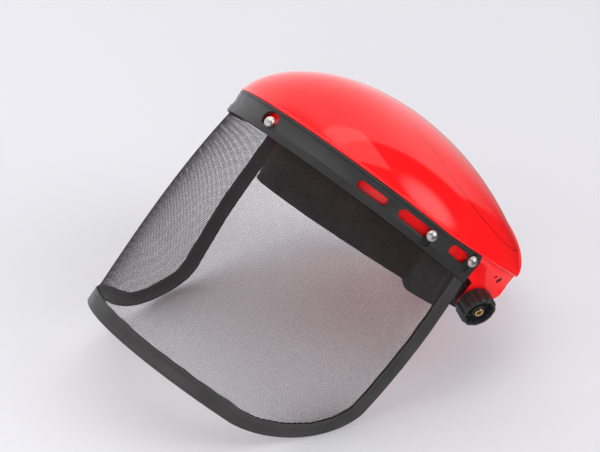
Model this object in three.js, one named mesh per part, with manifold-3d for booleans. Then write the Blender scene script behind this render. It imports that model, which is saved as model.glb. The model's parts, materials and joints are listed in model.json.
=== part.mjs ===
// A mesh face shield: a moulded brow guard with a curved wire-mesh visor studded to its rim,
// on an adjustable headband that the guard tilts about, clamped by one knob on each side.
//
// Everything is modelled in the wearer's frame, in millimetres: X to the wearer's left, Y backwards
// and Z up, with the origin under the middle of the guard's front arc, level with the top of the
// visor band. The whole shield is then pitched back and lowered on to the surface it rests on:
// the two rear corners of the visor and the back of the headband.

import * as THREE from 'three';
import { mergeVertices } from 'three/addons/utils/BufferGeometryUtils.js';
import Module from 'manifold-3d';

// ---------------------------------------------------------------- driving dimensions

const GAP = 0.35;                  // clearance between neighbouring pieces
const REST_PITCH = 46.9;           // how far the shield leans back when it is put down, degrees

// the curved wall that the band, mesh and binding follow: an arc at the band's top edge,
// another arc at the visor's bottom edge, and straight lines between them
const TOP_ARC = { halfWidth: 123.4, depth: 102, centreY: 0, splay: 3 };
const BOTTOM_ARC = { halfWidth: 109, depth: 191.5, centreY: 62, splay: 3 };
const WALL_HEIGHT = 192.5;
const BAND_HEIGHT = 21;
const BULGE = { size: 0.026, centreY: 20, skew: 0.85 };   // the mesh swells below the band

const BAND_REACH = 200;            // along the arc, from the middle to the band's end
const BAND_WALL = 1.8;
const BAND_LIP = { height: 6, proud: 0.6 };

const SLOT_HEIGHT = 8;
const SLOT_DROP = 10.3;            // from the band's top edge to the slots' centre line
const SLOTS = [                    // start and end along the arc, and whether a stud sits in it
  { from: 86, to: 108.5, stud: false },
  { from: 115.5, to: 149.5, stud: true },
  { from: 165.5, to: 196.5, stud: true },
];
const LOCK_LEG = { width: 7, depth: 9.2 };
const FRONT_HOLE = { width: 13, height: 9.6 };
const STUD = { head: 4.3, skirt: 0.5, rise: 4, shank: 1.9, toSlotEnd: 3.5 };
const FRONT_STUD_DROP = 11.8;

const MESH_WALL = 0.7;
const MESH_TOP = -15.8;            // the mesh starts behind the band's lip
const CORNER = { start: 136.5, length: 74, height: 72.5, roundness: 1.8 };

const BINDING = { width: 12, wall: 3.4, slotStart: 3 };

const GUARD_WALL = 2.2;
const RIM = { wall: 5.2, fade: 7, riseFrom: 20, riseTo: 85, rise: 4 };
const DOME = { height: 66, frontRound: 2.17, archRound: 1.64, peakY: 27, backDrop: 27, taper: 10.2 };
const DOME_BACK = { rimY: 86.8, lean: 16.4 };
const SKIRT = { drop: 14.8, wall: 2, inset: BAND_WALL + GAP, reachY: 52 };

const PIVOT = { y: 65, z: -26, lean: 20 };
const EAR_FLAT_FROM = -11;         // below this height the ear is a flat plate that leans in
const EAR_WALL = 2.4;
const EAR_OUTLINE = [              // height, and the ear's front and rear edges there
  { z: 5.5, front: 40, rear: 83 },
  { z: 0, front: 41, rear: 81.5 },
  { z: -14, front: 45, rear: 80 },
  { z: -28.5, front: 54, rear: 79 },
  { z: -34, front: 57, rear: 76 },
  { z: -38.5, front: 61, rear: 70 },
];
const EAR_HOLES = [                // the two small holes above the knob
  { r: 1.2, y: 61, z: -5.9 },
  { r: 2.1, y: 67.8, z: -5.6 },
];

const HEADBAND = { halfWidth: 84.8, halfLength: 87.6, centreY: 44.5, wall: 2.4, top: -14, bottom: -48 };
const HEADBAND_TILT = 5;           // its front hangs a little lower than the guard's rim
const STRAP = { top: -18, bottom: -38, fromY: 62, toY: 100 };
const ARM = { rootY: 29, elbowY: 50, endY: 77, wall: 3, half: 14, rootTop: -15, rootBottom: -42 };
const BOSS = { r: 13, bore: 5.2, faceR: 6.5, length: 8.5, axisZ: -24 };

const PAD = { outer: 5.4, inner: 3.2, endAngle: 11, top: -11, bottom: -52, corner: 2 };
const ADJUSTER = { width: 44, height: 17, depth: 5.5 };

const KNOB = { r: 13.1, length: 14.4, lobes: 12, scallop: 0.9, recess: 9.6, recessDepth: 5.5 };
const BOLT = { r: 2.6, insert: 3.6, insertLength: 4, insertBore: 1.9, boreDepth: 3, reach: 11.5 };

const FINISH = {
  red: { color: 0xf02028, roughness: 0.22, metalness: 0 },
  band: { color: 0x303030, roughness: 0.42, metalness: 0 },
  trim: { color: 0x2b2a2a, roughness: 0.5, metalness: 0 },
  knob: { color: 0x1c1b1b, roughness: 0.45, metalness: 0 },
  mesh: { color: 0x4a4a4c, roughness: 0.45, metalness: 0.6 },
  foam: { color: 0x1e1c1c, roughness: 0.95, metalness: 0 },
  steel: { color: 0xc9c5bf, roughness: 0.25, metalness: 1 },
  brass: { color: 0xb08a5a, roughness: 0.35, metalness: 1 },
};

// ---------------------------------------------------------------- shared shaping

const wasm = await Module();
wasm.setup();

const rad = THREE.MathUtils.degToRad;
const mix = THREE.MathUtils.lerp;
const smooth = THREE.MathUtils.smoothstep;

// Welds a geometry's seams and drops triangles that have shrunk to a line.
function weld(geometry) {
  geometry.deleteAttribute('normal');
  geometry.deleteAttribute('uv');
  const welded = mergeVertices(geometry, 1e-4);
  const source = welded.index.array;
  const kept = [];
  for (let i = 0; i < source.length; i += 3) {
    const [a, b, c] = [source[i], source[i + 1], source[i + 2]];
    if (a !== b && b !== c && c !== a) kept.push(a, b, c);
  }
  welded.setIndex(kept);
  return welded;
}

function signedVolume(geometry) {
  const position = geometry.attributes.position;
  const index = geometry.index.array;
  const [a, b, c] = [new THREE.Vector3(), new THREE.Vector3(), new THREE.Vector3()];
  let volume = 0;
  for (let i = 0; i < index.length; i += 3) {
    a.fromBufferAttribute(position, index[i]);
    b.fromBufferAttribute(position, index[i + 1]);
    c.fromBufferAttribute(position, index[i + 2]);
    volume += a.dot(b.cross(c)) / 6;
  }
  return volume;
}

// Turns every face over when the body is inside out, as a mirroring map leaves it.
function faceOutwards(geometry) {
  if (signedVolume(geometry) > 0) return geometry;
  const index = geometry.index.array;
  for (let i = 0; i < index.length; i += 3) {
    const second = index[i + 1];
    index[i + 1] = index[i + 2];
    index[i + 2] = second;
  }
  return geometry;
}

// Moves every vertex of a geometry through a mapping of (x, y, z) to a Vector3.
function warp(geometry, place) {
  const position = geometry.attributes.position;
  for (let i = 0; i < position.count; i += 1) {
    const p = place(position.getX(i), position.getY(i), position.getZ(i));
    position.setXYZ(i, p.x, p.y, p.z);
  }
  return faceOutwards(weld(geometry));
}

// A block of the given numbers of segments whose corners run from 0 to 1 along each axis.
function unitBlock(across, along, deep) {
  return new THREE.BoxGeometry(1, 1, 1, across, along, deep).translate(0.5, 0.5, 0.5);
}

function toSolid(geometry) {
  const welded = geometry.attributes.normal ? weld(geometry) : geometry;
  return new wasm.Manifold(new wasm.Mesh({
    numProp: 3,
    vertProperties: Float32Array.from(welded.attributes.position.array),
    triVerts: Uint32Array.from(welded.index.array),
  }));
}

function toGeometry(solid) {
  const mesh = solid.getMesh();
  const geometry = new THREE.BufferGeometry();
  geometry.setAttribute('position', new THREE.BufferAttribute(mesh.vertProperties, 3));
  geometry.setIndex(new THREE.BufferAttribute(mesh.triVerts, 1));
  return geometry;
}

function union(geometries) {
  return geometries.map(toSolid).reduce((whole, next) => whole.add(next));
}

function cut(solid, geometries) {
  return geometries.map(toSolid).reduce((whole, next) => whole.subtract(next), solid);
}

// A turned body whose axis is Z.
function turned(profile, segments) {
  const points = profile.map(([r, z]) => new THREE.Vector2(r, z));
  return faceOutwards(weld(new THREE.LatheGeometry(points, segments).rotateX(Math.PI / 2)));
}

const shield = new THREE.Group();
const headgear = new THREE.Group();
shield.add(headgear);

function addPiece(name, geometry, finish, parent = shield) {
  const piece = new THREE.Mesh(geometry, new THREE.MeshStandardMaterial(finish));
  piece.name = name;
  parent.add(piece);
  return piece;
}

// ---------------------------------------------------------------- the curved wall

// A plan curve by arc length: a quarter of an ellipse each side of the middle, then a straight
// run backwards that splays outwards.
function planCurve({ halfWidth, depth, centreY, splay }) {
  const STEPS = 160;
  const angles = [0];
  const lengths = [0];
  for (let i = 1; i <= STEPS; i += 1) {
    const a = (i / STEPS) * Math.PI / 2;
    const b = angles[i - 1];
    const dx = halfWidth * (Math.sin(a) - Math.sin(b));
    const dy = depth * (Math.cos(b) - Math.cos(a));
    angles.push(a);
    lengths.push(lengths[i - 1] + Math.hypot(dx, dy));
  }
  const quarter = lengths[STEPS];
  const at = (s) => {
    const run = Math.abs(s);
    const side = Math.sign(s);
    if (run >= quarter) {
      const past = run - quarter;
      const x = halfWidth + past * Math.sin(rad(splay));
      return { x: side * x, y: centreY + past * Math.cos(rad(splay)) };
    }
    let i = 1;
    while (lengths[i] < run) i += 1;
    const a = mix(angles[i - 1], angles[i], (run - lengths[i - 1]) / (lengths[i] - lengths[i - 1]));
    return { x: side * halfWidth * Math.sin(a), y: centreY - depth * Math.cos(a) };
  };
  return { at, quarter };
}

const topCurve = planCurve(TOP_ARC);
const bottomCurve = planCurve(BOTTOM_ARC);

function wallPoint(s, z) {
  const top = topCurve.at(s);
  const bottom = bottomCurve.at(s);
  const k = -z / WALL_HEIGHT;
  const below = THREE.MathUtils.clamp((-BAND_HEIGHT - z) / (WALL_HEIGHT - BAND_HEIGHT), 0, 1);
  const swell = 1 + BULGE.size * Math.sin(Math.PI * below ** BULGE.skew);
  const y = mix(top.y, bottom.y, k) - BULGE.centreY;
  return new THREE.Vector3(swell * mix(top.x, bottom.x, k), swell * y + BULGE.centreY, z);
}

// The wall's outward normal.
function wallNormal(s, z) {
  const STEP = 0.5;
  const along = wallPoint(s + STEP, z).sub(wallPoint(s - STEP, z));
  const up = wallPoint(s, z + STEP).sub(wallPoint(s, z - STEP));
  return along.cross(up).normalize();
}

// A point that lies a given distance outside the wall, or inside it when negative.
function offWall(s, z, distance) {
  return wallPoint(s, z).addScaledVector(wallNormal(s, z), distance);
}

// Stands a piece on the wall: its own Z points outwards and its own Y up the wall.
function standOnWall(geometry, s, z, distance) {
  const outward = wallNormal(s, z);
  const up = new THREE.Vector3(0, 0, 1).addScaledVector(outward, -outward.z).normalize();
  const along = up.clone().cross(outward);
  const matrix = new THREE.Matrix4().makeBasis(along, up, outward);
  matrix.setPosition(offWall(s, z, distance));
  return geometry.applyMatrix4(matrix);
}

// ---------------------------------------------------------------- visor band

// A round-ended cutter, upright or lying along the band.
function slotCutter(length, height, upright) {
  const DEPTH = 12;
  const r = height / 2;
  const shape = new THREE.Shape();
  shape.absarc(length / 2 - r, 0, r, -Math.PI / 2, Math.PI / 2, false);
  shape.absarc(-length / 2 + r, 0, r, Math.PI / 2, Math.PI * 1.5, false);
  const prism = new THREE.ExtrudeGeometry(shape, { depth: DEPTH, bevelEnabled: false, curveSegments: 4 });
  prism.translate(0, 0, -DEPTH / 2);
  return upright ? prism.rotateZ(Math.PI / 2) : prism;
}

function bandBlank() {
  const STEPS = 40;
  const lipTop = -BAND_HEIGHT + BAND_LIP.height;
  const section = new THREE.Shape([
    new THREE.Vector2(-BAND_WALL, 0),
    new THREE.Vector2(-BAND_WALL, -BAND_HEIGHT),
    new THREE.Vector2(BAND_LIP.proud, -BAND_HEIGHT),
    new THREE.Vector2(BAND_LIP.proud, lipTop),
    new THREE.Vector2(0, lipTop + BAND_LIP.proud),
    new THREE.Vector2(0, 0),
  ]);
  const strip = new THREE.ExtrudeGeometry(section, {
    depth: 2 * BAND_REACH,
    steps: STEPS,
    bevelEnabled: false,
  });
  return warp(strip, (x, y, z) => offWall(z - BAND_REACH, y, x));
}

function visorBand() {
  const cutters = [standOnWall(slotCutter(FRONT_HOLE.width, FRONT_HOLE.height), 0, -SLOT_DROP, 0)];
  for (const side of [-1, 1]) {
    for (const slot of SLOTS) {
      const length = slot.to - slot.from;
      const middle = side * (slot.from + length / 2);
      cutters.push(standOnWall(slotCutter(length, SLOT_HEIGHT), middle, -SLOT_DROP, 0));
      if (slot.stud) {
        const leg = slotCutter(LOCK_LEG.depth + LOCK_LEG.width / 2, LOCK_LEG.width, true);
        const legS = side * (slot.to - STUD.toSlotEnd);
        cutters.push(standOnWall(leg, legS, -SLOT_DROP - LOCK_LEG.depth / 2 + LOCK_LEG.width / 4, 0));
      }
    }
  }
  return toGeometry(cut(toSolid(bandBlank()), cutters));
}

// ---------------------------------------------------------------- mesh and binding

const cornerTop = -WALL_HEIGHT + CORNER.height;

// How far along the wall the visor's edge lies at a height, drawn in from the true edge.
function edgeReach(z, inset) {
  const sideReach = (height) => mix(BAND_REACH, CORNER.start + CORNER.length, height / cornerTop) - inset;
  if (z >= cornerTop) return sideReach(z);
  const drop = Math.min(1, (cornerTop - z) / (CORNER.height - inset));
  const round = (1 - drop ** CORNER.roundness) ** (1 / CORNER.roundness);
  return CORNER.start + (CORNER.length - inset) * round;
}

function meshVisor() {
  const COLUMNS = 42;
  const ROWS = 8;                  // closer together towards the rounded corners
  const inset = BINDING.slotStart + GAP;
  const bottom = -WALL_HEIGHT + inset;
  const outer = -BAND_WALL - GAP;
  return warp(unitBlock(COLUMNS, ROWS + 1, 1), (u, v, w) => {
    const row = Math.round(v * (ROWS + 1));
    const drop = Math.sin((1 - row / ROWS) * Math.PI / 2);
    const z = row > ROWS ? MESH_TOP : mix(-BAND_HEIGHT, bottom, drop);
    return offWall((2 * u - 1) * edgeReach(z, inset), z, outer - w * MESH_WALL);
  });
}

// The edge's path in stations: down one side, round the corner, and along the bottom to the middle.
const EDGE_STEPS = { side: 4, corner: 8, bottom: 16 };
const EDGE_HALF = EDGE_STEPS.side + EDGE_STEPS.corner + EDGE_STEPS.bottom;

function edgePoint(station, inset) {
  const side = station < EDGE_HALF ? 1 : -1;
  const step = station < EDGE_HALF ? station : 2 * EDGE_HALF - station;
  if (step <= EDGE_STEPS.side) {
    const z = mix(-BAND_HEIGHT - GAP, cornerTop, step / EDGE_STEPS.side);
    return { s: side * edgeReach(z, inset), z };
  }
  if (step <= EDGE_STEPS.side + EDGE_STEPS.corner) {
    const angle = ((step - EDGE_STEPS.side) / EDGE_STEPS.corner) * Math.PI / 2;
    const power = 2 / CORNER.roundness;
    const s = CORNER.start + (CORNER.length - inset) * Math.abs(Math.cos(angle)) ** power;
    return { s: side * s, z: cornerTop - (CORNER.height - inset) * Math.sin(angle) ** power };
  }
  const left = (EDGE_HALF - step) / EDGE_STEPS.bottom;
  return { s: side * CORNER.start * left, z: -WALL_HEIGHT + inset };
}

// A trim with a U section that grips the mesh's edge.
function edgeBinding() {
  const half = BINDING.wall / 2;
  const slotHalf = MESH_WALL / 2 + GAP;
  const bevel = 0.8;
  const section = new THREE.Shape([
    new THREE.Vector2(0, -half + bevel),
    new THREE.Vector2(bevel, -half),
    new THREE.Vector2(BINDING.width, -half),
    new THREE.Vector2(BINDING.width, -slotHalf),
    new THREE.Vector2(BINDING.slotStart, -slotHalf),
    new THREE.Vector2(BINDING.slotStart, slotHalf),
    new THREE.Vector2(BINDING.width, slotHalf),
    new THREE.Vector2(BINDING.width, half),
    new THREE.Vector2(bevel, half),
    new THREE.Vector2(0, half - bevel),
  ]);
  const strip = new THREE.ExtrudeGeometry(section, {
    depth: 2 * EDGE_HALF,
    steps: 2 * EDGE_HALF,
    bevelEnabled: false,
  });
  const middle = -BAND_WALL - GAP - MESH_WALL / 2;
  return warp(strip, (inset, distance, station) => {
    const { s, z } = edgePoint(Math.round(station), inset);
    return offWall(s, z, middle + distance);
  });
}

// ---------------------------------------------------------------- brow guard

function domeHalfWidth(y) {
  return TOP_ARC.halfWidth - DOME.taper * (Math.max(y, 0) / DOME_BACK.rimY) ** 2;
}

function domeHeight(y, depth) {
  if (y > DOME.peakY) return DOME.height - DOME.backDrop * ((y - DOME.peakY) / 100) ** 2;
  const run = Math.min(1, (DOME.peakY - y) / (depth + DOME.peakY));
  return DOME.height * (1 - run ** DOME.frontRound) ** (1 / DOME.frontRound);
}

function rimZ(y) {
  return GAP + RIM.rise * THREE.MathUtils.clamp((y - RIM.riseFrom) / (RIM.riseTo - RIM.riseFrom), 0, 1);
}

// A point of the dome: u runs from the front to the back edge, and v over the arch from one rim
// to the other. The inner skin is drawn in by the wall, which is thicker along the rim.
function domePoint(u, v, inner) {
  const FRONT_SHARE = 0.65;
  const arch = v * Math.PI;
  const power = 2 / DOME.archRound;
  const lift = Math.sin(arch) ** power;
  const spread = Math.sign(Math.cos(arch)) * Math.abs(Math.cos(arch)) ** power;
  const backY = DOME_BACK.rimY + DOME_BACK.lean * Math.sin(arch);
  const turn = Math.min(1, u / FRONT_SHARE) * Math.PI / 2;
  const behind = Math.max(0, (u - FRONT_SHARE) / (1 - FRONT_SHARE)) * backY;
  const outerY = behind - TOP_ARC.depth * Math.cos(turn);
  const outerZ = domeHeight(outerY, TOP_ARC.depth) * lift;
  const fade = Math.max(0, 1 - outerZ / RIM.fade);
  const wall = inner ? mix(GUARD_WALL, RIM.wall, fade) : 0;
  const y = behind - (TOP_ARC.depth - wall) * Math.cos(turn);
  const halfWidth = u < FRONT_SHARE ? (TOP_ARC.halfWidth - wall) * Math.sin(turn) : domeHalfWidth(y) - wall;
  const height = Math.max(0, domeHeight(y, TOP_ARC.depth - wall) - wall * Math.sin(turn));
  return new THREE.Vector3(halfWidth * spread, y, height * lift + mix(rimZ(y), GAP, Math.sin(arch)));
}

// The flat part of an ear: its outer face's X at a height.
const EAR_SLOPE = Math.tan(rad(PIVOT.lean));

function flatEarX(z) {
  return domeHalfWidth(PIVOT.y) - SKIRT.inset + z * EAR_SLOPE;
}

// The skin of the skirt and ears: it follows the band's inside, then leans in to the pivots.
function skinPoint(s, z, depth) {
  const point = offWall(s, z, -SKIRT.inset - depth);
  const y = Math.abs(s) - topCurve.quarter;
  if (y <= 0) return point;
  const flat = THREE.MathUtils.clamp(z / EAR_FLAT_FROM, 0, 1);
  const earX = mix(domeHalfWidth(y) - SKIRT.inset, flatEarX(0), flat) + z * EAR_SLOPE - depth;
  const k = smooth(y, 0, EAR_OUTLINE[0].front);
  return new THREE.Vector3(Math.sign(s) * mix(Math.abs(point.x), earX, k), mix(point.y, y, k), mix(point.z, z, k));
}

function skirt() {
  const STEPS = 48;
  const reach = topCurve.quarter + SKIRT.reachY;
  return warp(unitBlock(STEPS, 1, 1), (u, v, w) => (
    skinPoint(mix(-reach, reach, u), mix(-SKIRT.drop, 2.5, v), w * SKIRT.wall)
  ));
}

// Reads the ear's front or rear edge at a height.
function earEdge(z, column) {
  let i = 1;
  while (i < EAR_OUTLINE.length - 1 && EAR_OUTLINE[i].z > z) i += 1;
  const above = EAR_OUTLINE[i - 1];
  const below = EAR_OUTLINE[i];
  return mix(above[column], below[column], (above.z - z) / (above.z - below.z));
}

function ear(side) {
  const PROUD = 0.06;
  const rows = EAR_OUTLINE.map((row) => row.z);
  const inserted = [-5, -11, -21];
  const levels = [...rows, ...inserted].sort((a, b) => b - a);
  return warp(unitBlock(5, levels.length - 1, 1), (u, v, w) => {
    const z = levels[Math.round(v * (levels.length - 1))];
    const y = mix(earEdge(z, 'front'), earEdge(z, 'rear'), u);
    return skinPoint(side * (topCurve.quarter + y), z, mix(-PROUD, EAR_WALL, w));
  });
}

// A frame on an ear's outer face: Z along the knob's axis, outwards.
function earFrame(side, y, z, distance) {
  const outward = new THREE.Vector3(side * Math.cos(rad(PIVOT.lean)), 0, -Math.sin(rad(PIVOT.lean)));
  const back = new THREE.Vector3(0, 1, 0);
  const across = back.clone().cross(outward).normalize();
  const face = skinPoint(side * (topCurve.quarter + y), z, 0);
  const matrix = new THREE.Matrix4().makeBasis(across, back, outward);
  matrix.setPosition(face.addScaledVector(outward, distance));
  return matrix;
}

function drill(side, y, z, r) {
  const bit = new THREE.CylinderGeometry(r, r, 16, 12).rotateX(Math.PI / 2);
  return bit.applyMatrix4(earFrame(side, y, z, 0));
}

function browGuard() {
  const dome = warp(unitBlock(18, 20, 1), (u, v, w) => domePoint(u, v, w > 0.5));
  const shell = union([dome, skirt(), ear(-1), ear(1)]);
  const holes = [];
  for (const side of [-1, 1]) {
    holes.push(drill(side, PIVOT.y, PIVOT.z, BOLT.r + GAP));
    for (const hole of EAR_HOLES) holes.push(drill(side, hole.y, hole.z, hole.r));
  }
  return toGeometry(cut(shell, holes));
}

// ---------------------------------------------------------------- studs

// A domed stud: its shank passes through the band and stops short of the guard's skirt.
function studBody() {
  const bottom = -BAND_WALL - BAND_LIP.proud;
  const profile = [
    [0, bottom],
    [STUD.shank, bottom],
    [STUD.shank, GAP],
    [STUD.head, GAP],
    [STUD.head, GAP + STUD.skirt],
  ];
  const ARC = 4;
  for (let i = 1; i <= ARC; i += 1) {
    const angle = (i / ARC) * Math.PI / 2;
    profile.push([STUD.head * Math.cos(angle), GAP + STUD.skirt + (STUD.rise - STUD.skirt) * Math.sin(angle)]);
  }
  profile[profile.length - 1][0] = 0;
  return turned(profile, 12);
}

function addStuds() {
  const places = [{ name: 'stud_front', s: 0, drop: FRONT_STUD_DROP }];
  for (const [side, word] of [[-1, 'right'], [1, 'left']]) {
    SLOTS.filter((slot) => slot.stud).forEach((slot, i) => {
      const name = `stud_${word}_${i === 0 ? 'side' : 'end'}`;
      places.push({ name, s: side * (slot.to - STUD.toSlotEnd), drop: SLOT_DROP });
    });
  }
  for (const place of places) {
    addPiece(place.name, standOnWall(studBody(), place.s, -place.drop, BAND_LIP.proud), FINISH.steel);
  }
}

// ---------------------------------------------------------------- knobs and bolts

function knobBody() {
  const shape = new THREE.Shape();
  const POINTS = KNOB.lobes * 3;
  for (let i = 0; i < POINTS; i += 1) {
    const angle = (i / POINTS) * Math.PI * 2;
    const dip = KNOB.scallop * (0.5 + 0.5 * Math.cos(KNOB.lobes * angle)) ** 2;
    const x = (KNOB.r - dip) * Math.cos(angle);
    const y = (KNOB.r - dip) * Math.sin(angle);
    if (i === 0) shape.moveTo(x, y);
    else shape.lineTo(x, y);
  }
  const chamfer = 0.9;
  const disc = new THREE.ExtrudeGeometry(shape, {
    depth: KNOB.length - 2 * chamfer,
    bevelThickness: chamfer,
    bevelSize: chamfer,
    bevelOffset: -chamfer,
    bevelSegments: 1,
  });
  disc.translate(0, 0, chamfer);
  const bore = BOLT.r + GAP;
  const seat = KNOB.length - KNOB.recessDepth;
  const hollow = turned([
    [0, -1],
    [bore, -1],
    [bore, seat - BOLT.insertLength],
    [BOLT.insert + GAP, seat - BOLT.insertLength],
    [BOLT.insert + GAP, seat],
    [KNOB.recess - 1, seat],
    [KNOB.recess, KNOB.length + 1],
    [0, KNOB.length + 1],
  ], 20);
  return toGeometry(cut(toSolid(disc), [hollow]));
}

function boltBody() {
  const seat = KNOB.length - KNOB.recessDepth;
  const shoulder = seat - BOLT.insertLength + GAP;
  const top = seat + 1.2;
  return turned([
    [0, -BOLT.reach],
    [BOLT.r, -BOLT.reach],
    [BOLT.r, shoulder],
    [BOLT.insert, shoulder],
    [BOLT.insert, top],
    [BOLT.insertBore, top],
    [BOLT.insertBore, top - BOLT.boreDepth],
    [0, top - BOLT.boreDepth],
  ], 12);
}

function addKnobs() {
  for (const [side, word] of [[-1, 'right'], [1, 'left']]) {
    const frame = earFrame(side, PIVOT.y, PIVOT.z, GAP);
    addPiece(`knob_${word}`, knobBody().applyMatrix4(frame), FINISH.knob);
    addPiece(`bolt_${word}`, boltBody().applyMatrix4(frame), FINISH.brass);
  }
}

// ---------------------------------------------------------------- headband

// A point on the headband's ring, a distance outside its outer face.
function ringPoint(angle, distance, z) {
  return new THREE.Vector3(
    (HEADBAND.halfWidth + distance) * Math.cos(angle),
    HEADBAND.centreY + (HEADBAND.halfLength + distance) * Math.sin(angle),
    z,
  );
}

// A closed loop: a torus of square section whose four edges are drawn out into a tall band.
function headbandRing() {
  const loop = new THREE.TorusGeometry(1, 0.5, 4, 48);
  return warp(loop, (x, y, z) => {
    const angle = Math.atan2(y, x);
    const radius = Math.hypot(x, y);
    const outer = radius > 1.25 || z > 0.25;
    const upper = z > 0.25 || radius < 0.75;
    const back = smooth(ringPoint(angle, 0, 0).y, STRAP.fromY, STRAP.toY);
    const top = mix(HEADBAND.top, STRAP.top, back);
    const bottom = mix(HEADBAND.bottom, STRAP.bottom, back);
    return ringPoint(angle, outer ? 0 : -HEADBAND.wall, upper ? top : bottom);
  });
}

// The boss's face is a cone about the pivots' axis, clear of the leaning ear however it turns.
function bossX(r) {
  return flatEarX(BOSS.axisZ - r) - EAR_WALL - GAP;
}

const bossBase = bossX(BOSS.faceR) - BOSS.length;

// The arm that carries a pivot: it leaves the ring, bows outwards and ends round the boss.
function arm(side) {
  return warp(unitBlock(16, 1, 1), (u, v, w) => {
    const y = mix(ARM.rootY, ARM.endY, u);
    const k = smooth(y, ARM.rootY, ARM.elbowY);
    const rootX = HEADBAND.halfWidth * Math.sqrt(1 - ((y - HEADBAND.centreY) / HEADBAND.halfLength) ** 2);
    const x = mix(rootX, bossBase + ARM.wall, k) - w * ARM.wall;
    const past = Math.max(0, y - PIVOT.y);
    const half = Math.sqrt(ARM.half ** 2 - past ** 2);
    const top = mix(ARM.rootTop, BOSS.axisZ + half, k);
    const bottom = mix(ARM.rootBottom, BOSS.axisZ - half, k);
    return new THREE.Vector3(side * x, y, mix(bottom, top, v));
  });
}

function onPivotAxis(geometry, side) {
  const turn = side > 0 ? Math.PI / 2 : -Math.PI / 2;
  return geometry.rotateY(turn).translate(0, PIVOT.y, BOSS.axisZ);
}

function boss(side) {
  const body = turned([
    [0, bossBase + 0.2],
    [BOSS.r, bossBase + 0.2],
    [BOSS.r, bossX(BOSS.r)],
    [BOSS.faceR, bossX(BOSS.faceR)],
    [0, bossX(BOSS.faceR)],
  ], 20);
  return onPivotAxis(body, side);
}

function headband() {
  const whole = union([headbandRing(), arm(-1), arm(1), boss(-1), boss(1)]);
  const bores = [-1, 1].map((side) => {
    const bore = new THREE.CylinderGeometry(BOSS.bore, BOSS.bore, 14, 20).rotateX(Math.PI / 2);
    return onPivotAxis(bore.translate(0, 0, bossX(BOSS.faceR) - 4), side);
  });
  return toGeometry(cut(whole, bores));
}

// A foam band folded under the front of the headband, with a layer on each face.
function sweatband() {
  const STEPS = 28;
  const inside = -HEADBAND.wall - GAP;
  const c = PAD.corner;
  const fold = HEADBAND.bottom - GAP;
  const section = new THREE.Shape([
    new THREE.Vector2(GAP, PAD.top),
    new THREE.Vector2(GAP, fold),
    new THREE.Vector2(inside, fold),
    new THREE.Vector2(inside, PAD.top),
    new THREE.Vector2(inside - PAD.inner + c / 2, PAD.top),
    new THREE.Vector2(inside - PAD.inner, PAD.top - c),
    new THREE.Vector2(inside - PAD.inner, PAD.bottom + c),
    new THREE.Vector2(inside - PAD.inner + c, PAD.bottom),
    new THREE.Vector2(PAD.outer - c, PAD.bottom),
    new THREE.Vector2(PAD.outer, PAD.bottom + c),
    new THREE.Vector2(PAD.outer, PAD.top - c),
    new THREE.Vector2(PAD.outer - c, PAD.top),
  ]);
  const strip = new THREE.ExtrudeGeometry(section, { depth: 1, steps: STEPS, bevelEnabled: false });
  return warp(strip, (distance, z, run) => {
    const degrees = mix(-180 + PAD.endAngle, -PAD.endAngle, run);
    return ringPoint(rad(degrees), distance, z);
  });
}

// The size adjuster's housing: a plain block on the back of the strap.
function sizeAdjuster() {
  const middle = (STRAP.top + STRAP.bottom) / 2;
  return warp(unitBlock(8, 1, 1), (u, v, w) => {
    const x = ADJUSTER.width * (u - 0.5);
    const angle = Math.acos(x / HEADBAND.halfWidth);
    return ringPoint(angle, GAP + w * ADJUSTER.depth, middle + ADJUSTER.height * (v - 0.5));
  });
}

// ---------------------------------------------------------------- assembly

addPiece('brow_guard', browGuard(), FINISH.red);
addPiece('visor_band', visorBand(), FINISH.band);
addPiece('mesh_visor', meshVisor(), FINISH.mesh);
addPiece('edge_binding', edgeBinding(), FINISH.trim);
addStuds();
addKnobs();

addPiece('headband', headband(), FINISH.trim, headgear);
addPiece('sweatband', sweatband(), FINISH.foam, headgear);
addPiece('size_adjuster', sizeAdjuster(), FINISH.trim, headgear);

// the headband swings about the pivots' common axis
const pivot = new THREE.Vector3(0, PIVOT.y, BOSS.axisZ);
headgear.rotation.x = rad(HEADBAND_TILT);
headgear.position.copy(pivot).sub(pivot.clone().applyEuler(headgear.rotation));

// pitched back and set down, with its middle over the origin
shield.rotation.x = rad(-REST_PITCH);
shield.updateMatrixWorld(true);
const box = new THREE.Box3().setFromObject(shield, true);
const centre = box.getCenter(new THREE.Vector3());
shield.position.set(0, -centre.y, -box.min.z);

const group = new THREE.Group();
group.add(shield);

export default group;
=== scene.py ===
import json
import math

import bmesh
import bpy
import numpy as np
from mathutils import Matrix, Vector


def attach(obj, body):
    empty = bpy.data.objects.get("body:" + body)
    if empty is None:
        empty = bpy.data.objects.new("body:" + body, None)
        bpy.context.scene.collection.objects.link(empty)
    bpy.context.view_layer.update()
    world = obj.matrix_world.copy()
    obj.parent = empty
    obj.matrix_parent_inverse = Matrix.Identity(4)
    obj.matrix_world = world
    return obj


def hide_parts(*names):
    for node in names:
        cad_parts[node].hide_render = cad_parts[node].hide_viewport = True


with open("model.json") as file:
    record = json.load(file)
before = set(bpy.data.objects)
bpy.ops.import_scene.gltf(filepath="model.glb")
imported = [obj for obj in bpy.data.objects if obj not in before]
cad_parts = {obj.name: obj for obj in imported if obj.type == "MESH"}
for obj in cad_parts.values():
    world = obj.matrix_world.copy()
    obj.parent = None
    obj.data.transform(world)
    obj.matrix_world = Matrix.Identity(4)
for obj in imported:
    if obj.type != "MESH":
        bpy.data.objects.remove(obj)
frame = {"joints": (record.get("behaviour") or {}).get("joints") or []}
bpy.context.view_layer.update()

# ---------------------------------------------------------------- brow guard
# The brow guard is one injection moulding in glossy red plastic: a dome with a short skirt under
# its rim that the visor band wraps round, and a leaning ear on each side that takes a knob.
# It is drawn in the wearer's frame, in millimetres: X left, Y back, Z up from the band's top edge.

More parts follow.
